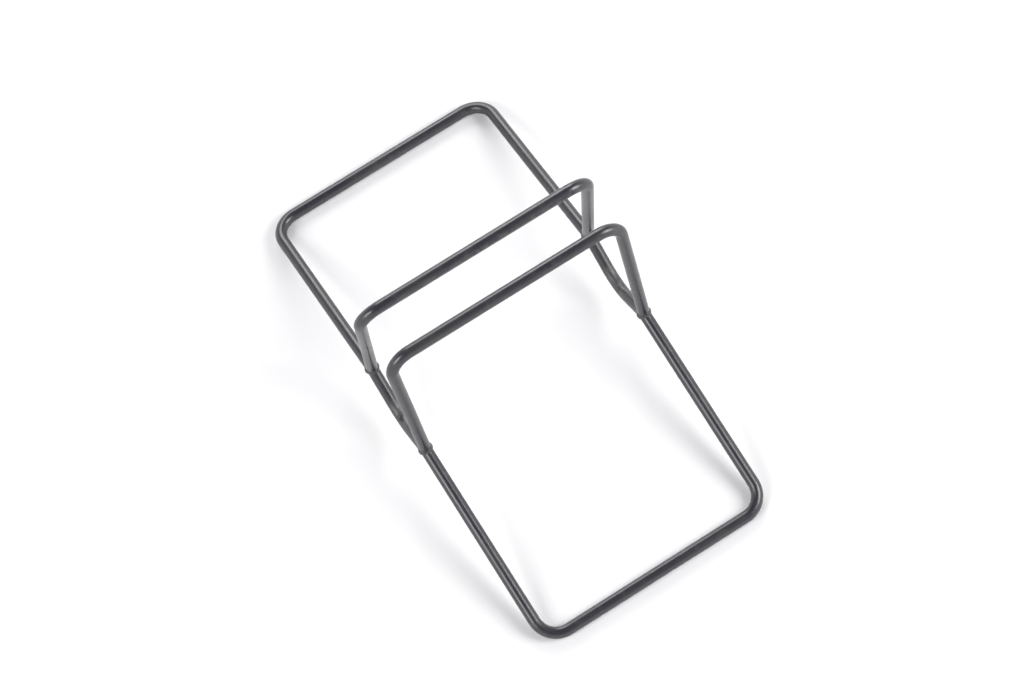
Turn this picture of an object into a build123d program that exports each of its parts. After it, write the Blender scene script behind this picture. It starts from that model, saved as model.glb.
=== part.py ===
"""Floor stand for one bicycle wheel, welded from round steel tube.

A bicycle wheel rolls in along X and sits in two dipped cradle tubes, between two inverted-U
uprights that stop it falling over. Each side of the base is a U of tube that rises from its
floor bar to the feet of the upright on that side.

Frame: +X is the way the wheel rolls, +Y is to its left, +Z is up. The origin lies on the floor
under the middle of the stand. Right is -Y, left is +Y, rear is -X and front is +X.
"""

import os
from math import radians, sin

from build123d import *

# Tube
TUBE_DIAMETER = 12.0
TUBE_WALL = 1.5

# Base, measured between tube centrelines
FLOOR_BAR_SPACING = 520.0
SIDE_SPACING = 248.0
BASE_BEND_RADIUS = 24.0

# Uprights: where their feet stand on the base and where their top bars lie
FOOT_SPACING = 100.0
FOOT_HEIGHT = 63.0
TOP_BAR_SPACING = 53.0
TOP_BAR_HEIGHT = 235.0
TOP_BEND_RADIUS = 22.0

# Cradle: how far its two straight limbs would meet below the feet, and the bend between them
CRADLE_DEPTH = 35.0
CRADLE_BEND_RADIUS = 30.0

# Weld bead along each seam, and the slightly larger stop where three seams meet
BEAD_RADIUS = 1.7
BEAD_STOP_RATIO = 1.15

# Worked out from the sizes above
TUBE_RADIUS = TUBE_DIAMETER / 2
BORE_RADIUS = TUBE_RADIUS - TUBE_WALL
SIDE_X = SIDE_SPACING / 2
FOOT_Y = FOOT_SPACING / 2
CUT_ALLOWANCE = 2 * TUBE_DIAMETER
RIGHT, LEFT = -1, 1
REAR, FRONT = -1, 1
SIDE_NAMES = {RIGHT: "right", LEFT: "left"}
END_NAMES = {REAR: "rear", FRONT: "front"}


def foot_point(side: int, end: int = 0) -> Vector:
    """Point where three tube centrelines meet, or the middle between two of them for end 0."""
    return Vector(end * SIDE_X, side * FOOT_Y, FOOT_HEIGHT)


def arm_vector(side: int) -> Vector:
    """Run of a base arm, from the foot down to the floor bar."""
    return Vector(0, side * (FLOOR_BAR_SPACING / 2 - FOOT_Y), TUBE_RADIUS - FOOT_HEIGHT)


def leg_vector(side: int) -> Vector:
    """Run of an upright's leg, from the foot up to the top bar."""
    return Vector(0, side * (TOP_BAR_SPACING / 2 - FOOT_Y), TOP_BAR_HEIGHT - FOOT_HEIGHT)


def limb_vector(side: int) -> Vector:
    """Run of a cradle limb, from the foot down to the middle of the stand."""
    return Vector(0, -side * FOOT_Y, -CRADLE_DEPTH)


def mitre(side: int, own: Vector, other: Vector) -> Plane:
    """Mitre plane between two tubes that leave a foot; its upper side holds the tube `own`."""
    return Plane(origin=foot_point(side), z_dir=own.normalized() - other.normalized())


def tube_section(route: Edge | Wire) -> Sketch:
    """Ring section of the tube, square to the start of its centreline."""
    with BuildSketch(Plane(origin=route @ 0, z_dir=route % 0)) as section:
        Circle(TUBE_RADIUS)
        Circle(BORE_RADIUS, mode=Mode.SUBTRACT)
    return section.sketch


def u_tube(side: int, run: Vector, neighbours: list[Vector], bend_radius: float) -> Part:
    """U of tube whose two parallel runs leave the feet and join in a crossbar.

    The ends of the runs are mitred to the neighbouring tubes at the feet.
    """
    plane = Plane(origin=foot_point(side), x_dir=(1, 0, 0), z_dir=Vector(1, 0, 0).cross(run))
    length = run.length
    with BuildPart() as tube:
        with BuildLine(plane) as route:
            FilletPolyline(
                (-SIDE_X, -CUT_ALLOWANCE),
                (-SIDE_X, length),
                (SIDE_X, length),
                (SIDE_X, -CUT_ALLOWANCE),
                radius=bend_radius,
            )
        sweep(tube_section(route.line), path=route.line)
        for neighbour in neighbours:
            split(bisect_by=mitre(side, run, neighbour), keep=Keep.TOP)
    return tube.part


def base_tube(side: int) -> Part:
    """U that lies from one upright's feet out and down to its floor bar."""
    return u_tube(side, arm_vector(side), [leg_vector(side), limb_vector(side)], BASE_BEND_RADIUS)


def upright(side: int) -> Part:
    """Inverted U that stands on the base and leans in towards the wheel."""
    return u_tube(side, leg_vector(side), [arm_vector(side), limb_vector(side)], TOP_BEND_RADIUS)


def cradle_tube(end: int) -> Part:
    """Dipped tube across the stand, from foot to foot, that carries the tyre at its lowest point."""
    stretch = 1 + CUT_ALLOWANCE / limb_vector(RIGHT).length
    end_y = FOOT_Y * stretch
    bottom_z = FOOT_HEIGHT - CRADLE_DEPTH
    end_z = bottom_z + CRADLE_DEPTH * stretch
    with BuildPart() as tube:
        with BuildLine(Plane.YZ.offset(end * SIDE_X)) as route:
            FilletPolyline(
                (-end_y, end_z),
                (0, bottom_z),
                (end_y, end_z),
                radius=CRADLE_BEND_RADIUS,
            )
        sweep(tube_section(route.line), path=route.line)
        for side in (RIGHT, LEFT):
            for neighbour in (arm_vector(side), leg_vector(side)):
                split(bisect_by=mitre(side, limb_vector(side), neighbour), keep=Keep.TOP)
    return tube.part


def foot_weld(side: int, end: int) -> Part:
    """Weld beads along the three seams where an arm, a leg and a cradle tube meet.

    The left weld is built around the origin, mirrored for the right, and moved to its foot.
    """
    runs = [run(LEFT).normalized() for run in (arm_vector, leg_vector, limb_vector)]
    with BuildPart() as weld:
        for own, other in zip(runs, runs[1:] + runs[:1]):
            half_angle = radians(own.get_angle(other)) / 2
            outwards = (own + other).normalized()
            seam_plane = Plane(
                origin=(0, 0, 0), x_dir=(1, 0, 0), z_dir=Vector(1, 0, 0).cross(outwards)
            )
            with BuildLine(seam_plane) as seam:
                EllipticalCenterArc(
                    (0, 0),
                    x_radius=TUBE_RADIUS,
                    y_radius=TUBE_RADIUS / sin(half_angle),
                    start_angle=0,
                    arc_size=180,
                )
            with BuildSketch(Plane(origin=seam.line @ 0, z_dir=seam.line % 0)):
                Circle(BEAD_RADIUS)
            sweep(path=seam.line)
        with Locations((TUBE_RADIUS, 0, 0), (-TUBE_RADIUS, 0, 0)):
            Sphere(BEAD_RADIUS * BEAD_STOP_RATIO)
        for run in runs:
            with BuildSketch(Plane(origin=(0, 0, 0), z_dir=run)):
                Circle(TUBE_RADIUS)
            extrude(amount=CUT_ALLOWANCE, mode=Mode.SUBTRACT)
        if side == RIGHT:
            mirror(about=Plane.XZ, mode=Mode.REPLACE)
    return weld.part.moved(Location(foot_point(side, end)))


def make_parts() -> dict[str, Part]:
    """Every sub-part of the stand by name."""
    parts = {}
    for side, side_name in SIDE_NAMES.items():
        parts[f"{side_name}_base_tube"] = base_tube(side)
        parts[f"{side_name}_upright"] = upright(side)
    for end, end_name in END_NAMES.items():
        parts[f"{end_name}_cradle_tube"] = cradle_tube(end)
        for side, side_name in SIDE_NAMES.items():
            parts[f"{end_name}_{side_name}_weld"] = foot_weld(side, end)
    return parts


def main() -> None:
    """Build, label and write each sub-part."""
    os.makedirs("parts", exist_ok=True)
    for name, part in make_parts().items():
        part.label = name
        export_step(part, f"parts/{name}.step")
        print(f"{name}: {part.volume:.0f} mm3")


if __name__ == "__main__":
    main()
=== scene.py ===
import logging
import math
import random
from dataclasses import dataclass, field
from enum import Enum

import bmesh
import bpy
from mathutils import Matrix, Vector, noise


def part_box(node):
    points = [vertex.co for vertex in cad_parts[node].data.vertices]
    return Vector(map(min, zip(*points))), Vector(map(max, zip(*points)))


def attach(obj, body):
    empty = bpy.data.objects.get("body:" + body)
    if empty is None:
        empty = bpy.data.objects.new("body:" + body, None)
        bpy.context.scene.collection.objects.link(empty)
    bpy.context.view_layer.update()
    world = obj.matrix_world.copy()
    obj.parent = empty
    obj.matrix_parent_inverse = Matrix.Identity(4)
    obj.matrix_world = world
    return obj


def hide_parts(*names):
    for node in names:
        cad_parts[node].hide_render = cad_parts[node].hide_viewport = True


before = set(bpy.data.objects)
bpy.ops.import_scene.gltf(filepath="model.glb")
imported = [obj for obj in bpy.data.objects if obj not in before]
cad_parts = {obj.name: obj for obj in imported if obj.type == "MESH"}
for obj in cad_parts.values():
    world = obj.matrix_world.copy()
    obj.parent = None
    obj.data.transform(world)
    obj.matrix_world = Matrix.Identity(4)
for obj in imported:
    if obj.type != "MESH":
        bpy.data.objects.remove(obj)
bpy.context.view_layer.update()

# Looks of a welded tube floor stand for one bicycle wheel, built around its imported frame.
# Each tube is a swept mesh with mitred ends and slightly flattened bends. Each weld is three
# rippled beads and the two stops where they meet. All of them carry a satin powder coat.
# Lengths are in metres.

LOG = logging.getLogger("stand")
MM = 0.001
BODY = "root"
ALONG_WHEEL = Vector((1, 0, 0))

Socket = bpy.types.NodeSocket
Colour = tuple[float, float, float, float]
Place = tuple[float, float, float]
Span = tuple[float, float]


class Side(Enum):
    """Half of the stand, across the wheel."""

    RIGHT = -1
    LEFT = 1


class End(Enum):
    """End of the stand, along the wheel."""

    REAR = -1
    FRONT = 1


# ---------------------------------------------------------------- node building


class NodeTree:
    """Short way of adding and linking the nodes of one material or world."""

    def __init__(self, owner: bpy.types.Material | bpy.types.World) -> None:
        """Empties the owner's node tree and keeps hold of it.

        Args:
            owner: The material or world whose node tree is filled.
        """
        owner.use_nodes = True
        self.tree = owner.node_tree
        self.tree.nodes.clear()

    def add(self, kind: str, inputs: dict | None = None, **settings: object) -> bpy.types.Node:
        """Adds one node.

        Args:
            kind: Node type without its ShaderNode prefix.
            inputs: Socket name or number to a value, or to the output socket that feeds it.
            **settings: Properties of the node itself.

        Returns:
            The new node.
        """
        node = self.tree.nodes.new("ShaderNode" + kind)
        for name, value in settings.items():
            setattr(node, name, value)
        for name, value in (inputs or {}).items():
            if isinstance(value, Socket):
                self.tree.links.new(value, node.inputs[name])
            else:
                node.inputs[name].default_value = value
        return node

    def noise(self, where: Socket, scale: float, detail: float) -> Socket:
        """Noise of about 0 to 1 with `scale` features per metre."""
        node = self.add("TexNoise", {"Vector": where, "Scale": scale, "Detail": detail})
        return node.outputs["Fac"]

    def ramp(self, value: Socket, fade: Span, to: Span = (0.0, 1.0)) -> Socket:
        """Carries a value smoothly from one span to another, clamped at both ends.

        Args:
            value: The value to carry.
            fade: The two values between which the result changes.
            to: The result at the first and at the second of them.

        Returns:
            The carried value.
        """
        node = self.add(
            "MapRange",
            {
                "Value": value,
                "From Min": fade[0],
                "From Max": fade[1],
                "To Min": to[0],
                "To Max": to[1],
            },
            interpolation_type="SMOOTHSTEP",
        )
        return node.outputs["Result"]

    def math(self, operation: str, first: Socket, second: Socket | float = 0.0) -> Socket:
        """Result of one math node."""
        return self.add("Math", {0: first, 1: second}, operation=operation).outputs[0]

    def times(self, first: Socket, second: Socket | float) -> Socket:
        """Product of two values."""
        return self.math("MULTIPLY", first, second)

    def larger(self, first: Socket, second: Socket) -> Socket:
        """Larger of two values."""
        return self.math("MAXIMUM", first, second)

    def mix(self, factor: Socket, first: Socket | Colour, second: Socket | Colour) -> Socket:
        """Colour mixed from first to second by factor."""
        node = self.add("Mix", {"Factor": factor, "A": first, "B": second}, data_type="RGBA")
        return node.outputs["Result"]

    def bump(self, height: Socket, strength: float, distance: float,
             under: Socket | None = None, sunken: bool = False) -> Socket:
        """Surface normal with one more relief on it.

        Args:
            height: Shape of the relief, from 0 to 1.
            strength: How much of the relief shows.
            distance: Height of the relief.
            under: Normal with the reliefs below this one.
            sunken: Whether the relief goes into the surface.

        Returns:
            The new normal.
        """
        inputs = {"Height": height, "Strength": strength, "Distance": distance}
        if under is not None:
            inputs["Normal"] = under
        return self.add("Bump", inputs, invert=sunken).outputs[0]

    def surface(self, inputs: dict) -> None:
        """Ends a material's tree in a principled shader with these inputs."""
        shader = self.add("BsdfPrincipled", inputs)
        self.add("OutputMaterial", {"Surface": shader.outputs[0]})


# ---------------------------------------------------------------- finishes


@dataclass(frozen=True)
class RubMarks:
    """Where the floor, the tyre and the rim rub the coat, and how much of it they rub off.

    Each span fades the rubbing in, from none at its first value to full at its second.

    Attributes:
        floor_height: Height above the floor, for the rubbing of the floor.
        tyre_across: Distance from the wheel's middle plane, for the rubbing of the tyre.
        tyre_height: Height, for the rubbing of the tyre.
        rim_across: Distance from the wheel's middle plane, for the rubbing of the rim.
        rim_height: Height, for the rubbing of the rim.
        crown: Pointiness of the surface, for the tops of ripples and beads.
        tyre_share: Rubbing of the tyre, next to that of the floor.
        rim_share: Rubbing of the rim, next to that of the floor.
        crown_share: Rubbing of the crowns, next to that of the floor.
        broken_span: Clouding, which breaks up the rubbed places.
    """

    floor_height: Span = (2.2 * MM, 0.4 * MM)
    tyre_across: Span = (21 * MM, 12 * MM)
    tyre_height: Span = (60 * MM, 46 * MM)
    rim_across: Span = (23.5 * MM, 20.8 * MM)
    rim_height: Span = (224 * MM, 231 * MM)
    crown: Span = (0.53, 0.60)
    tyre_share: float = 0.75
    rim_share: float = 0.45
    crown_share: float = 0.5
    broken_span: Span = (0.36, 0.62)

    def mask(self, tree: NodeTree, where: Socket, cloud: Socket) -> Socket:
        """Makes the mask of the rubbed places.

        Args:
            tree: The coat's node tree.
            where: Place on the stand.
            cloud: Fine clouding of 0 to 1.

        Returns:
            The mask, from 0 for whole coat to 1 for rubbed coat.
        """
        place = tree.add("SeparateXYZ", {"Vector": where})
        off_middle = tree.math("ABSOLUTE", place.outputs["Y"])
        height = place.outputs["Z"]
        pointed = tree.add("NewGeometry").outputs["Pointiness"]

        floor = tree.ramp(height, self.floor_height)
        tyre = tree.times(
            tree.ramp(off_middle, self.tyre_across), tree.ramp(height, self.tyre_height)
        )
        rim = tree.times(
            tree.ramp(off_middle, self.rim_across), tree.ramp(height, self.rim_height)
        )
        rubbed = tree.larger(floor, tree.times(tyre, self.tyre_share))
        rubbed = tree.larger(rubbed, tree.times(rim, self.rim_share))
        crowns = tree.ramp(pointed, self.crown)
        rubbed = tree.larger(rubbed, tree.times(crowns, self.crown_share))
        return tree.times(rubbed, tree.ramp(cloud, self.broken_span))


@dataclass(frozen=True)
class Scratches:
    """Few fine scratches of uneven length.

    Attributes:
        turn: How the scratches are turned about each axis, in radians.
        stretch: Features per metre along a scratch and across it.
        line_detail: Detail of the noise that draws them.
        line_span: Noise values between which a scratch fades in.
        patch_scale: Features per metre of the patches that hold scratches.
        patch_detail: Detail of those patches.
        patch_span: Noise values between which a patch fades in.
    """

    turn: Place = (0.4, 0.9, 0.3)
    stretch: Place = (38.0, 900.0, 900.0)
    line_detail: float = 2.0
    line_span: Span = (0.725, 0.76)
    patch_scale: float = 46.0
    patch_detail: float = 1.0
    patch_span: Span = (0.54, 0.64)

    def mask(self, tree: NodeTree, where: Socket) -> Socket:
        """Makes the mask of the scratches.

        Args:
            tree: The coat's node tree.
            where: Place on the stand.

        Returns:
            The mask, from 0 for whole coat to 1 for a scratch.
        """
        stretched = tree.add(
            "Mapping", {"Vector": where, "Rotation": self.turn, "Scale": self.stretch}
        )
        lines = tree.noise(stretched.outputs["Vector"], scale=1.0, detail=self.line_detail)
        patches = tree.noise(where, self.patch_scale, self.patch_detail)
        return tree.times(tree.ramp(lines, self.line_span), tree.ramp(patches, self.patch_span))


@dataclass(frozen=True)
class PowderCoat:
    """Satin powder coat on steel, with orange peel, dust, rub marks and fine scratches.

    Attributes:
        name: Name of the material.
        tone: Main colour of the coat.
        warm_tone: Colour of the slightly browner patches.
        scuffed_tone: Colour of rubbed coat.
        dust_tone: Colour of dust.
        dust_share: How much of the coat's colour thick dust hides.
        dust_span: Clouding between which dust fades in.
        scratch_share: How much a scratch shows, next to a rub mark.
        roughness: Roughness of clean coat.
        smoother: How much smoother the smoothest patches are.
        rougher: How much rougher the roughest patches are.
        cloud_roughness: Roughness that the clouding adds.
        worn_roughness: Roughness that wear adds.
        patch_scale: Features per metre of the broad patches.
        patch_detail: Detail of the broad patches.
        tone_span: Patch noise between which the colour turns warm.
        roughness_span: Patch noise between which the roughness changes.
        cloud_scale: Features per metre of the clouding.
        cloud_detail: Detail of the clouding.
        peel_scale: Features per metre of the orange peel.
        peel_detail: Detail of the orange peel.
        peel_strength: How much of the orange peel shows.
        peel_height: Height of the orange peel.
        grain_scale: Features per metre of the powder's grain.
        grain_detail: Detail of the grain.
        grain_strength: How much of the grain shows.
        grain_height: Height of the grain.
        wear_strength: How much of a rub mark's depth shows.
        wear_depth: Depth of a rub mark.
        ior: Refractive index of the coat.
        gloss: Specular level of the coat.
        rub_marks: The rubbed places.
        scratches: The scratches.
    """

    name: str
    tone: Colour = (0.0190, 0.0193, 0.0262, 1)
    warm_tone: Colour = (0.0245, 0.0240, 0.0275, 1)
    scuffed_tone: Colour = (0.085, 0.083, 0.087, 1)
    dust_tone: Colour = (0.16, 0.155, 0.15, 1)
    dust_share: float = 0.10
    dust_span: Span = (0.52, 0.74)
    scratch_share: float = 0.28
    roughness: float = 0.27
    smoother: float = 0.035
    rougher: float = 0.05
    cloud_roughness: float = 0.06
    worn_roughness: float = 0.17
    patch_scale: float = 18.0
    patch_detail: float = 3.0
    tone_span: Span = (0.35, 0.68)
    roughness_span: Span = (0.3, 0.7)
    cloud_scale: float = 140.0
    cloud_detail: float = 4.0
    peel_scale: float = 900.0
    peel_detail: float = 1.0
    peel_strength: float = 0.8
    peel_height: float = 0.06 * MM
    grain_scale: float = 5200.0
    grain_detail: float = 2.0
    grain_strength: float = 0.35
    grain_height: float = 0.012 * MM
    wear_strength: float = 0.4
    wear_depth: float = 0.02 * MM
    ior: float = 1.5
    gloss: float = 0.8
    rub_marks: RubMarks = RubMarks()
    scratches: Scratches = Scratches()

    def material(self) -> bpy.types.Material:
        """Builds the material.

        Returns:
            The finished material.
        """
        coat = bpy.data.materials.new(self.name)
        tree = NodeTree(coat)
        where = tree.add("TexCoord").outputs["Object"]
        patches = tree.noise(where, self.patch_scale, self.patch_detail)
        cloud = tree.noise(where, self.cloud_scale, self.cloud_detail)
        rubbed = self.rub_marks.mask(tree, where, cloud)
        scratched = self.scratches.mask(tree, where)
        worn = tree.larger(rubbed, tree.times(scratched, self.scratch_share))
        tree.surface(
            {
                "Base Color": self.colour(tree, patches, cloud, worn),
                "Roughness": self.satin(tree, patches, cloud, worn),
                "IOR": self.ior,
                "Specular IOR Level": self.gloss,
                "Normal": self.relief(tree, where, rubbed),
            }
        )
        return coat

    def colour(self, tree: NodeTree, patches: Socket, cloud: Socket, worn: Socket) -> Socket:
        """Colours the coat, its dust and its worn places.

        Args:
            tree: The coat's node tree.
            patches: Broad patches of 0 to 1.
            cloud: Fine clouding of 0 to 1.
            worn: Mask of the worn places.

        Returns:
            The colour.
        """
        clean = tree.mix(tree.ramp(patches, self.tone_span), self.tone, self.warm_tone)
        dust = tree.times(tree.ramp(cloud, self.dust_span), self.dust_share)
        dusty = tree.mix(dust, clean, self.dust_tone)
        return tree.mix(worn, dusty, self.scuffed_tone)

    def satin(self, tree: NodeTree, patches: Socket, cloud: Socket, worn: Socket) -> Socket:
        """Varies the roughness over the coat.

        Args:
            tree: The coat's node tree.
            patches: Broad patches of 0 to 1.
            cloud: Fine clouding of 0 to 1.
            worn: Mask of the worn places.

        Returns:
            The roughness.
        """
        limits = (self.roughness - self.smoother, self.roughness + self.rougher)
        clean = tree.ramp(patches, self.roughness_span, limits)
        clouded = tree.math("ADD", clean, tree.times(cloud, self.cloud_roughness))
        return tree.math("ADD", clouded, tree.times(worn, self.worn_roughness))

    def relief(self, tree: NodeTree, where: Socket, rubbed: Socket) -> Socket:
        """Gives the coat its orange peel, its grain and the depth of its rub marks.

        Args:
            tree: The coat's node tree.
            where: Place on the stand.
            rubbed: Mask of the rubbed places.

        Returns:
            The surface normal.
        """
        peel = tree.noise(where, self.peel_scale, self.peel_detail)
        grain = tree.noise(where, self.grain_scale, self.grain_detail)
        peeled = tree.bump(peel, self.peel_strength, self.peel_height)
        grained = tree.bump(grain, self.grain_strength, self.grain_height, peeled)
        return tree.bump(rubbed, self.wear_strength, self.wear_depth, grained, sunken=True)


@dataclass(frozen=True)
class PaleFloor:
    """Matt near-white studio floor with a faint mottle.

    Attributes:
        name: Name of the material.
        light: Lighter colour of the mottle.
        shade: Darker colour of the mottle.
        roughness: Roughness of the floor.
        mottle_scale: Features per metre of the mottle.
        mottle_detail: Detail of the mottle.
        mottle_span: Noise values between which the colour changes.
        tooth_scale: Features per metre of the fine tooth.
        tooth_detail: Detail of the tooth.
        tooth_strength: How much of the tooth shows.
        tooth_height: Height of the tooth.
    """

    name: str = "pale_floor"
    light: Colour = (0.88, 0.88, 0.882, 1)
    shade: Colour = (0.85, 0.85, 0.853, 1)
    roughness: float = 0.62
    mottle_scale: float = 3.0
    mottle_detail: float = 5.0
    mottle_span: Span = (0.35, 0.7)
    tooth_scale: float = 420.0
    tooth_detail: float = 3.0
    tooth_strength: float = 0.2
    tooth_height: float = 0.2 * MM

    def material(self) -> bpy.types.Material:
        """Builds the material.

        Returns:
            The finished material.
        """
        floor = bpy.data.materials.new(self.name)
        tree = NodeTree(floor)
        where = tree.add("TexCoord").outputs["Object"]
        mottle = tree.noise(where, self.mottle_scale, self.mottle_detail)
        tooth = tree.noise(where, self.tooth_scale, self.tooth_detail)
        tree.surface(
            {
                "Base Color": tree.mix(
                    tree.ramp(mottle, self.mottle_span), self.light, self.shade
                ),
                "Roughness": self.roughness,
                "Normal": tree.bump(tooth, self.tooth_strength, self.tooth_height),
            }
        )
        return floor


# ---------------------------------------------------------------- layout


@dataclass
class Layout:
    """Where the tubes' centrelines meet and turn. Left and right halves are alike.

    Attributes:
        foot_y: Half the spacing of the two uprights' feet.
        foot_z: Height of the feet.
        base_bend: Centreline radius of a base tube's corners.
        top_bend: Centreline radius of an upright's corners.
        cradle_bend: Centreline radius at the bottom of a cradle tube.
        cradle_depth: How far below the feet a cradle tube's two limbs would meet.
        radius: Outside radius of every tube.
        side_x: Half the spacing of the arms, and of the legs, along the wheel.
        bar_y: Distance of a floor bar from the wheel's middle plane.
        top_y: Distance of a top bar from the wheel's middle plane.
        top_z: Height of the top bars.
    """

    foot_y: float = 50 * MM
    foot_z: float = 63 * MM
    base_bend: float = 24 * MM
    top_bend: float = 22 * MM
    cradle_bend: float = 30 * MM
    cradle_depth: float = 35 * MM
    radius: float = field(init=False)
    side_x: float = field(init=False)
    bar_y: float = field(init=False)
    top_y: float = field(init=False)
    top_z: float = field(init=False)

    def __post_init__(self) -> None:
        """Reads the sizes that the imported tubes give."""
        cradle_low, cradle_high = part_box("front_cradle_tube")
        _, base_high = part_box("left_base_tube")
        upright_low, upright_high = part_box("left_upright")
        self.radius = (cradle_high.x - cradle_low.x) / 2
        self.side_x = base_high.x - self.radius
        self.bar_y = base_high.y - self.radius
        self.top_y = upright_low.y + self.radius
        self.top_z = upright_high.z - self.radius

    def foot(self, side: Side, end: End) -> Vector:
        """Point where an arm, a leg and a cradle limb meet."""
        return Vector((end.value * self.side_x, side.value * self.foot_y, self.foot_z))

    def arm(self, side: Side) -> Vector:
        """Run of a base arm, from the foot to the floor bar."""
        return Vector((0, side.value * (self.bar_y - self.foot_y), self.radius - self.foot_z))

    def leg(self, side: Side) -> Vector:
        """Run of a leg, from the foot to the top bar."""
        return Vector((0, side.value * (self.top_y - self.foot_y), self.top_z - self.foot_z))

    def limb(self, side: Side) -> Vector:
        """Run of a cradle limb, from the foot to where the two limbs would meet."""
        return Vector((0, -side.value * self.foot_y, -self.cradle_depth))


# ---------------------------------------------------------------- swept tube


@dataclass
class Station:
    """One cross-section of a tube.

    Attributes:
        centre: Point on the centreline.
        tangent: Direction of the centreline.
        bend: How far into a bend the section lies, from 0 to 1.
        turned: Length along the bend, for the wrinkles on its inside.
    """

    centre: Vector
    tangent: Vector
    bend: float = 0.0
    turned: float = 0.0


@dataclass
class Route:
    """Centreline of straight runs joined by arcs, all in one plane.

    Attributes:
        corners: Ends and corners of the centreline.
        bend_radius: Radius of the arc at each corner.
        straight_step: Spacing of sections on a straight run.
        arc_step: Spacing of sections on an arc.
        fewest_straight: Least number of steps on a straight run.
        fewest_arc: Least number of steps on an arc.
        bend_ease: How gently a bend's effect on the section starts and stops.
    """

    corners: list[Vector]
    bend_radius: float
    straight_step: float = 5 * MM
    arc_step: float = 0.9 * MM
    fewest_straight: int = 2
    fewest_arc: int = 8
    bend_ease: float = 1.5

    def stations(self) -> list[Station]:
        """Divides the whole centreline.

        Returns:
            Sections in order, with none at the centreline's first and last points.
        """
        found: list[Station] = []
        start = self.corners[0]
        for before, corner, after in zip(self.corners, self.corners[1:], self.corners[2:]):
            into = (corner - before).normalized()
            out = (after - corner).normalized()
            turn = into.angle(out)
            reach = self.bend_radius * math.tan(turn / 2)
            arc_start = corner - into * reach
            found += self.straight(start, arc_start, into)
            found += self.arc(arc_start, into, out, turn)
            start = corner + out * reach
        last = (self.corners[-1] - start).normalized()
        found += self.straight(start, self.corners[-1], last)
        return found

    def straight(self, start: Vector, stop: Vector, along: Vector) -> list[Station]:
        """Sections between two points, with neither of them."""
        count = max(self.fewest_straight, round((stop - start).length / self.straight_step))
        return [Station(start.lerp(stop, i / count), along) for i in range(1, count)]

    def arc(self, start: Vector, into: Vector, out: Vector, turn: float) -> list[Station]:
        """Divides the arc around one corner.

        Args:
            start: Where the arc starts.
            into: Direction of the run before the corner.
            out: Direction of the run after it.
            turn: Angle between the two.

        Returns:
            Sections in order, with both ends of the arc.
        """
        inward = (out - into * into.dot(out)).normalized()
        hub = start + inward * self.bend_radius
        count = max(self.fewest_arc, round(turn * self.bend_radius / self.arc_step))
        sections = []
        for i in range(count + 1):
            angle = turn * i / count
            radial = into * math.sin(angle) - inward * math.cos(angle)
            tangent = into * math.cos(angle) + inward * math.sin(angle)
            depth = max(0.0, math.sin(math.pi * i / count)) ** self.bend_ease
            sections.append(
                Station(hub + radial * self.bend_radius, tangent, depth, angle * self.bend_radius)
            )
        return sections


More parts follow.
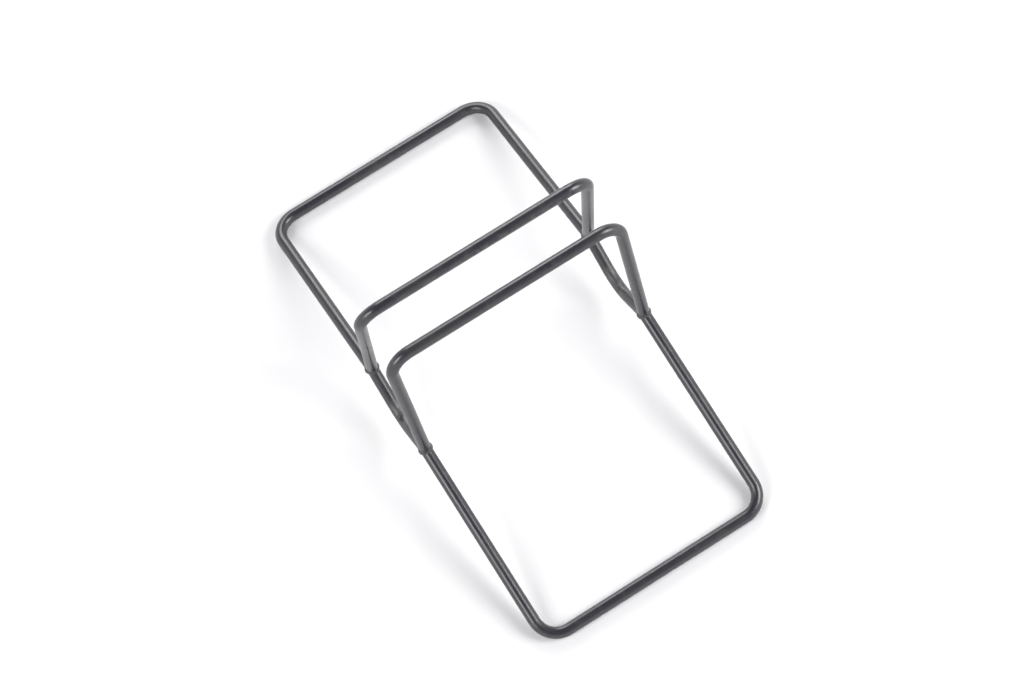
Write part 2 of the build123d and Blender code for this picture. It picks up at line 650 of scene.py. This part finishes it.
@dataclass
class TubeMesh:
    """Round tube swept along a route, with both ends mitred against its neighbours.

    Attributes:
        name: Name of the piece.
        route: The centreline, from one foot to the other.
        radius: Outside radius.
        start_neighbours: Directions of the other tubes at the first foot.
        stop_neighbours: Directions of the other tubes at the last foot.
        sides: Faces around the tube.
        flattening: Share of the radius lost on the inside of a bend.
        ripple: Height of the faint wrinkles on the inside of a bend.
        ripple_pitch: Spacing of the wrinkles.
        waviness: Most that the surface sinks in, as drawn tube is never quite even.
        waviness_scale: Features per metre of that unevenness.
        mitre_reach: Distance from a foot to the first square section, as a share of the radius.
        mitre_shares: Where sections lie between the mitre, at 0, and that section, at 1.
    """

    name: str
    route: Route
    radius: float
    start_neighbours: list[Vector]
    stop_neighbours: list[Vector]
    sides: int = 64
    flattening: float = 0.035
    ripple: float = 0.09 * MM
    ripple_pitch: float = 6.2 * MM
    waviness: float = 0.035 * MM
    waviness_scale: float = 90
    mitre_reach: float = 0.78
    mitre_shares: tuple[float, ...] = (0.0, 0.2, 0.45, 0.7, 1.0)

    def build(self) -> bpy.types.Object:
        """Makes the mesh object.

        Returns:
            The new object, linked to the scene.
        """
        corners = self.route.corners
        first = (corners[1] - corners[0]).normalized()
        last = (corners[-2] - corners[-1]).normalized()
        normal = self.plane_normal()
        rings = self.mitred_rings(corners[0], first, first, normal, self.start_neighbours)
        rings += [self.ring(station, normal) for station in self.route.stations()]
        closing = self.mitred_rings(corners[-1], last, -last, normal, self.stop_neighbours)
        rings += closing[::-1]

        mesh = bmesh.new()
        loops = [[mesh.verts.new(point) for point in ring] for ring in rings]
        join_loops(mesh, loops)
        for loop, foot in ((loops[0], corners[0]), (loops[-1], corners[-1])):
            hub = mesh.verts.new(foot)
            for i in range(self.sides):
                mesh.faces.new((loop[i], loop[(i + 1) % self.sides], hub))
        return finished_object(self.name, mesh)

    def plane_normal(self) -> Vector:
        """Normal of the plane that the route turns in."""
        corners = self.route.corners
        return (corners[1] - corners[0]).cross(corners[2] - corners[1]).normalized()

    def ring(self, station: Station, normal: Vector) -> list[Vector]:
        """Places the points around one section, flattened and faintly wrinkled in a bend.

        Args:
            station: The section.
            normal: Normal of the route's plane.

        Returns:
            The points in order around the tube.
        """
        inward = normal.cross(station.tangent)
        points = []
        for i in range(self.sides):
            angle = math.tau * i / self.sides
            in_plane, off_plane = math.cos(angle), math.sin(angle)
            squeeze = 1 - self.flattening * station.bend * (0.5 + 0.5 * in_plane)
            wave = math.sin(math.tau * station.turned / self.ripple_pitch)
            wrinkle = self.ripple * station.bend * wave * max(0.0, in_plane) ** 2
            offset = inward * (in_plane * (self.radius * squeeze + wrinkle))
            offset += normal * (off_plane * self.radius)
            points.append(self.waved(station.centre + offset, offset))
        return points

    def waved(self, point: Vector, outwards: Vector) -> Vector:
        """Point sunk in by the tube's unevenness there."""
        depth = 0.5 - 0.5 * noise.noise(point * self.waviness_scale)
        return point - outwards.normalized() * self.waviness * depth

    def mitred_rings(self, foot: Vector, away: Vector, tangent: Vector, normal: Vector,
                     neighbours: list[Vector]) -> list[list[Vector]]:
        """Places the points of the sections at one mitred end.

        Args:
            foot: Point where the centrelines meet.
            away: Direction of this tube from the foot.
            tangent: Direction of the route there.
            normal: Normal of the route's plane.
            neighbours: Directions of the other tubes from the foot.

        Returns:
            Rings in order from the foot.
        """
        inward = normal.cross(tangent)
        clear = self.radius * self.mitre_reach
        rings = []
        for share in self.mitre_shares:
            ring = []
            for i in range(self.sides):
                angle = math.tau * i / self.sides
                radial = (inward * math.cos(angle) + normal * math.sin(angle)) * self.radius
                cut = max(radial.dot(other) / (1 - away.dot(other)) for other in neighbours)
                ring.append(foot + radial + away * (cut + (clear - cut) * share))
            rings.append(ring)
        return rings


def join_loops(mesh: bmesh.types.BMesh, loops: list[list[bmesh.types.BMVert]]) -> None:
    """Joins each closed loop of vertices to the next one with a band of faces.

    Args:
        mesh: The mesh that holds the vertices.
        loops: Loops in order, all with as many vertices.
    """
    for near, far in zip(loops, loops[1:]):
        for i in range(len(near)):
            j = (i + 1) % len(near)
            mesh.faces.new((near[i], near[j], far[j], far[i]))


def finished_object(name: str, mesh: bmesh.types.BMesh) -> bpy.types.Object:
    """Turns a bmesh into a smooth-shaded object in the scene.

    Args:
        name: Name of the object and its mesh.
        mesh: The mesh, which is freed.

    Returns:
        The new object.
    """
    bmesh.ops.recalc_face_normals(mesh, faces=mesh.faces)
    data = bpy.data.meshes.new(name)
    mesh.to_mesh(data)
    mesh.free()
    for polygon in data.polygons:
        polygon.use_smooth = True
    made = bpy.data.objects.new(name, data)
    bpy.context.scene.collection.objects.link(made)
    return made


# ---------------------------------------------------------------- sub-assemblies


@dataclass
class CoatedPiece:
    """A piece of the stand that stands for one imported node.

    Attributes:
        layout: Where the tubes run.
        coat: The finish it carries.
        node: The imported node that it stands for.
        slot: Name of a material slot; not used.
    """

    layout: Layout
    coat: bpy.types.Material
    node: str = ""
    slot: str = "tube_coat"

    def dress(self, piece: bpy.types.Object) -> bpy.types.Object:
        """Gives a piece its coat and its body, and hides the imported part it stands for.

        Args:
            piece: The bare piece.

        Returns:
            The same piece.
        """
        piece.data.materials.append(self.coat)
        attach(piece, BODY)
        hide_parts(self.node)
        return piece


@dataclass
class UTube(CoatedPiece):
    """U of tube: two parallel runs from the feet of one side, joined by a crossbar.

    Attributes:
        side: Half of the stand.
    """

    side: Side = Side.RIGHT

    def sweep(self, run: Vector, neighbours: list[Vector], bend: float) -> bpy.types.Object:
        """Builds and dresses the tube.

        Args:
            run: From the foot to the crossbar.
            neighbours: Runs of the other two tubes at the foot.
            bend: Centreline radius of its two corners.

        Returns:
            The dressed tube.
        """
        rear = self.layout.foot(self.side, End.REAR)
        front = self.layout.foot(self.side, End.FRONT)
        directions = [neighbour.normalized() for neighbour in neighbours]
        tube = TubeMesh(
            f"{self.node}_coated",
            Route([rear, rear + run, front + run, front], bend),
            self.layout.radius,
            directions,
            directions,
        )
        return self.dress(tube.build())


@dataclass
class BaseTube(UTube):
    """U that slopes from one upright's feet down to its floor bar."""

    def build(self) -> bpy.types.Object:
        """Builds and dresses the base tube.

        Returns:
            The dressed tube.
        """
        self.node = f"{self.side.name.lower()}_base_tube"
        layout, side = self.layout, self.side
        return self.sweep(layout.arm(side), [layout.leg(side), layout.limb(side)], layout.base_bend)


@dataclass
class Upright(UTube):
    """Inverted U beside the wheel."""

    def build(self) -> bpy.types.Object:
        """Builds and dresses the upright.

        Returns:
            The dressed tube.
        """
        self.node = f"{self.side.name.lower()}_upright"
        layout, side = self.layout, self.side
        return self.sweep(layout.leg(side), [layout.arm(side), layout.limb(side)], layout.top_bend)


@dataclass
class CradleTube(CoatedPiece):
    """Dipped tube from foot to foot that carries the tyre.

    Attributes:
        end: End of the stand.
        straight_step: Spacing of sections on its two limbs.
    """

    end: End = End.REAR
    straight_step: float = 3 * MM

    def build(self) -> bpy.types.Object:
        """Builds and dresses the cradle tube.

        Returns:
            The dressed tube.
        """
        self.node = f"{self.end.name.lower()}_cradle_tube"
        layout = self.layout
        right, left = (layout.foot(side, self.end) for side in Side)
        bottom = right + layout.limb(Side.RIGHT)
        right_others, left_others = (
            [layout.arm(side).normalized(), layout.leg(side).normalized()] for side in Side
        )
        tube = TubeMesh(
            f"{self.node}_coated",
            Route([right, bottom, left], layout.cradle_bend, self.straight_step),
            layout.radius,
            right_others,
            left_others,
        )
        return self.dress(tube.build())


@dataclass
class FootWeld(CoatedPiece):
    """Rippled fillet beads along the three seams at one foot.

    Attributes:
        side: Half of the stand.
        end: End of the stand.
        bead_half_width: Half the width of a bead.
        bead_height: How far a bead stands off the seam.
        around: Faces around a bead.
        steps: Sections along a bead.
        ripple_pitch: Spacing of the ripples.
        ripple_depth: Depth of the ripples.
        ripple_lag: How far a ripple trails at the edges of a bead, as a share of the pitch.
        ripple_power: Power that sharpens the valleys between ripples.
        ripple_level: Share of a ripple's depth that lies below the plain bead.
        phase_spread: Range of random offsets between the ripples of different beads.
        wander_scale: Features per metre of the unevenness along a bead.
        width_wander: Share of the width that varies.
        height_wander: Share of the height that varies.
        stop_shape: Size of a stop along X, Y and Z, next to half the bead's width.
        stop_around: Faces around a stop.
        stop_rings: Faces from pole to pole of a stop.
        stop_ripple: Height of the rings on a stop.
        stop_unevenness: Height of the unevenness of a stop.
        stop_scale: Features per metre of that unevenness.
    """

    side: Side = Side.RIGHT
    end: End = End.REAR
    slot: str = "weld_coat"
    bead_half_width: float = 2.8 * MM
    bead_height: float = 1.1 * MM
    around: int = 24
    steps: int = 96
    ripple_pitch: float = 1.35 * MM
    ripple_depth: float = 0.11 * MM
    ripple_lag: float = 0.55
    ripple_power: float = 0.7
    ripple_level: float = 0.6
    phase_spread: float = 10
    wander_scale: float = 260
    width_wander: float = 0.10
    height_wander: float = 0.08
    stop_shape: Place = (0.55, 1.15, 1.15)
    stop_around: int = 28
    stop_rings: int = 18
    stop_ripple: float = 0.04 * MM
    stop_unevenness: float = 0.10 * MM
    stop_scale: float = 600

    def build(self) -> bpy.types.Object:
        """Builds and dresses the weld.

        Returns:
            The dressed weld.
        """
        self.node = f"{self.end.name.lower()}_{self.side.name.lower()}_weld"
        chance = random.Random(self.node)
        layout, side = self.layout, self.side
        foot = layout.foot(side, self.end)
        runs = [run.normalized() for run in (layout.arm(side), layout.leg(side), layout.limb(side))]
        mesh = bmesh.new()
        for number, (own, other) in enumerate(zip(runs, runs[1:] + runs[:1])):
            self.bead(mesh, foot, own, other, chance.random() * self.phase_spread + number)
        for way in End:
            self.stop(mesh, foot + ALONG_WHEEL * way.value * layout.radius)
        return self.dress(finished_object(f"{self.node}_coated", mesh))

    def bead(self, mesh: bmesh.types.BMesh, foot: Vector, own: Vector, other: Vector,
             phase: float) -> None:
        """Adds the bead along half of the seam ellipse between two tubes.

        Args:
            mesh: The weld's mesh.
            foot: Point where the centrelines meet.
            own: Direction of one tube from the foot.
            other: Direction of the other tube from the foot.
            phase: Offset of the bead's ripples.
        """
        radius = self.layout.radius
        outwards = (own + other).normalized()
        reach = radius / math.sin(own.angle(other) / 2)
        loops = []
        travelled, last = 0.0, None
        for i in range(self.steps + 1):
            angle = math.pi * i / self.steps
            point = foot + ALONG_WHEEL * radius * math.cos(angle) + outwards * reach * math.sin(angle)
            tangent = (
                -ALONG_WHEEL * radius * math.sin(angle) + outwards * reach * math.cos(angle)
            ).normalized()
            if last is not None:
                travelled += (point - last).length
            last = point
            radial = self.off_axis(point - foot, own) + self.off_axis(point - foot, other)
            lift = (radial - tangent * radial.dot(tangent)).normalized()
            across = tangent.cross(lift)
            loops.append(self.section(mesh, point, lift, across, travelled, phase))
        join_loops(mesh, loops)
        mesh.faces.new(loops[0][::-1])
        mesh.faces.new(loops[-1])

    @staticmethod
    def off_axis(point: Vector, axis: Vector) -> Vector:
        """Unit vector from a tube's axis out to a point."""
        return (point - axis * point.dot(axis)).normalized()

    def section(self, mesh: bmesh.types.BMesh, point: Vector, lift: Vector, across: Vector,
                travelled: float, phase: float) -> list[bmesh.types.BMVert]:
        """Adds one cross-section of a bead, with crescent ripples on its crown.

        Args:
            mesh: The weld's mesh.
            point: Point on the seam.
            lift: Direction out of the seam.
            across: Direction from one tube to the other.
            travelled: Length of the bead so far.
            phase: Offset of the bead's ripples.

        Returns:
            The new vertices in order around the bead.
        """
        wander = noise.noise(point * self.wander_scale + Vector((phase, 0, 0)))
        width = self.bead_half_width * (1 + self.width_wander * wander)
        height = self.bead_height * (1 + self.height_wander * wander)
        verts = []
        for i in range(self.around):
            angle = math.tau * i / self.around
            sideways, upwards = math.cos(angle), math.sin(angle)
            lag = self.ripple_lag * self.ripple_pitch * sideways * sideways
            wave = abs(math.sin(math.pi * ((travelled + lag) / self.ripple_pitch + phase)))
            crescent = wave ** self.ripple_power - self.ripple_level
            scallop = self.ripple_depth * crescent * max(0.0, upwards)
            offset = across * sideways * width + lift * (upwards * height + scallop)
            verts.append(mesh.verts.new(point + offset))
        return verts

    def stop(self, mesh: bmesh.types.BMesh, point: Vector) -> None:
        """Adds the low blob where three beads end.

        Args:
            mesh: The weld's mesh.
            point: Middle of the blob.
        """
        shape = Matrix.Translation(point) @ Matrix.Diagonal((*self.stop_shape, 1))
        made = bmesh.ops.create_uvsphere(
            mesh,
            u_segments=self.stop_around,
            v_segments=self.stop_rings,
            radius=self.bead_half_width,
            matrix=shape,
        )
        for vert in made["verts"]:
            away = (vert.co - point).normalized()
            ring = math.sin((vert.co - point).length * math.tau / self.ripple_pitch)
            uneven = noise.noise(vert.co * self.stop_scale)
            vert.co += away * (self.stop_ripple * ring + self.stop_unevenness * uneven)


# ---------------------------------------------------------------- studio


@dataclass(frozen=True)
class SoftBox:
    """Square area light that points at the middle of the stand.

    Attributes:
        name: Name of the light.
        place: Where it stands.
        size: Length of its sides.
        power: Its power, in watts.
        target: The point that it faces.
    """

    name: str
    place: Place
    size: float
    power: float
    target: Place = (0, 0, 80 * MM)

    def build(self) -> None:
        """Adds the light."""
        light = bpy.data.lights.new(self.name, "AREA")
        light.shape = "SQUARE"
        light.size = self.size
        light.energy = self.power
        lamp = bpy.data.objects.new(self.name, light)
        lamp.location = self.place
        towards = Vector(self.target) - lamp.location
        lamp.rotation_euler = towards.to_track_quat("-Z", "Y").to_euler()
        bpy.context.scene.collection.objects.link(lamp)


@dataclass
class Studio:
    """Pale floor, pale walls under a dim ceiling, soft lights and the camera.

    Attributes:
        camera_place: Where the camera stands.
        aim: The point in the middle of the picture.
        roll: How far the camera leans about its own line of sight, in degrees.
        lens: Focal length, in millimetres.
        sensor: Width of the sensor, in millimetres.
        nearest: Least distance from the camera that it sees.
        floor_half: Half the width of the floor.
        floor_cells: Faces along each side of the floor.
        floor_gap: How far the floor lies below the stand.
        ceiling: Colour of the ceiling.
        walls: Colour of the walls.
        wall_top: Rise of a line of sight between which walls turn into ceiling.
        surroundings_strength: Brightness of walls and ceiling.
        lights: The soft lights.
    """

    camera_place: Place = (-0.352, -1.118, 2.900)
    aim: Place = (0.0, -0.012, 0.085)
    roll: float = -15.4
    lens: float = 112.0
    sensor: float = 36.0
    nearest: float = 10 * MM
    floor_half: float = 2.2
    floor_cells: int = 8
    floor_gap: float = 0.1 * MM
    ceiling: Colour = (0.13, 0.13, 0.145, 1)
    walls: Colour = (1.0, 0.99, 0.985, 1)
    wall_top: Span = (0.12, 0.72)
    surroundings_strength: float = 1.25
    lights: tuple[SoftBox, ...] = (
        SoftBox("key_box", (1.9, -1.3, 2.0), 1.5, 64.0),
        SoftBox("back_box", (0.9, 2.6, 1.9), 1.8, 54.0),
        SoftBox("fill_box", (-2.1, -0.3, 2.0), 1.5, 40.0),
    )

    def build(self) -> None:
        """Builds the whole studio."""
        self.floor()
        self.world()
        for light in self.lights:
            light.build()
        self.camera()
        bpy.context.scene.view_settings.view_transform = "Standard"

    def floor(self) -> None:
        """Adds the floor, which is no part of the stand."""
        mesh = bmesh.new()
        bmesh.ops.create_grid(
            mesh, x_segments=self.floor_cells, y_segments=self.floor_cells, size=self.floor_half
        )
        floor = finished_object("studio_floor", mesh)
        floor.location.z = -self.floor_gap
        floor.data.materials.append(PaleFloor().material())

    def world(self) -> None:
        """Sets pale walls all round under a dim ceiling."""
        world = bpy.data.worlds.new("studio_world")
        bpy.context.scene.world = world
        tree = NodeTree(world)
        direction = tree.add("TexCoord").outputs["Generated"]
        rise = tree.add("SeparateXYZ", {"Vector": direction}).outputs["Z"]
        colour = tree.mix(tree.ramp(rise, self.wall_top), self.walls, self.ceiling)
        background = tree.add(
            "Background", {"Color": colour, "Strength": self.surroundings_strength}
        )
        tree.add("OutputWorld", {"Surface": background.outputs[0]})

    def camera(self) -> None:
        """Adds the camera and makes it the scene's own."""
        data = bpy.data.cameras.new("studio_camera")
        data.lens = self.lens
        data.sensor_width = self.sensor
        data.clip_start = self.nearest
        camera = bpy.data.objects.new("studio_camera", data)
        sight = Vector(self.aim) - Vector(self.camera_place)
        level = sight.to_track_quat("-Z", "Y").to_matrix().to_4x4()
        lean = Matrix.Rotation(math.radians(self.roll), 4, "Z")
        camera.matrix_world = Matrix.Translation(self.camera_place) @ level @ lean
        bpy.context.scene.collection.objects.link(camera)
        bpy.context.scene.camera = camera


# ---------------------------------------------------------------- stand


class FloorStand:
    """The whole stand: two base tubes, two uprights, two cradle tubes and four welds."""

    def __init__(self) -> None:
        """Reads the layout and makes the two finishes."""
        self.layout = Layout()
        self.tube_coat = PowderCoat("tube_coat").material()
        self.weld_coat = PowderCoat(
            "weld_coat",
            tone=(0.0175, 0.0178, 0.0242, 1),
            roughness=0.25,
            peel_height=0.04 * MM,
        ).material()

    def build(self) -> list[bpy.types.Object]:
        """Builds every piece in order.

        Returns:
            The dressed pieces.
        """
        pieces = []
        for side in Side:
            pieces.append(BaseTube(self.layout, self.tube_coat, side=side).build())
            pieces.append(Upright(self.layout, self.tube_coat, side=side).build())
        for end in End:
            pieces.append(CradleTube(self.layout, self.tube_coat, end=end).build())
            for side in Side:
                weld = FootWeld(self.layout, self.weld_coat, side=side, end=end)
                pieces.append(weld.build())
        return pieces


def main() -> None:
    """Builds the studio and the stand, and reports each piece."""
    logging.basicConfig(level=logging.INFO, format="%(message)s")
    Studio().build()
    for piece in FloorStand().build():
        LOG.info("%s: %d faces", piece.name, len(piece.data.polygons))


if __name__ == "__main__":
    main()
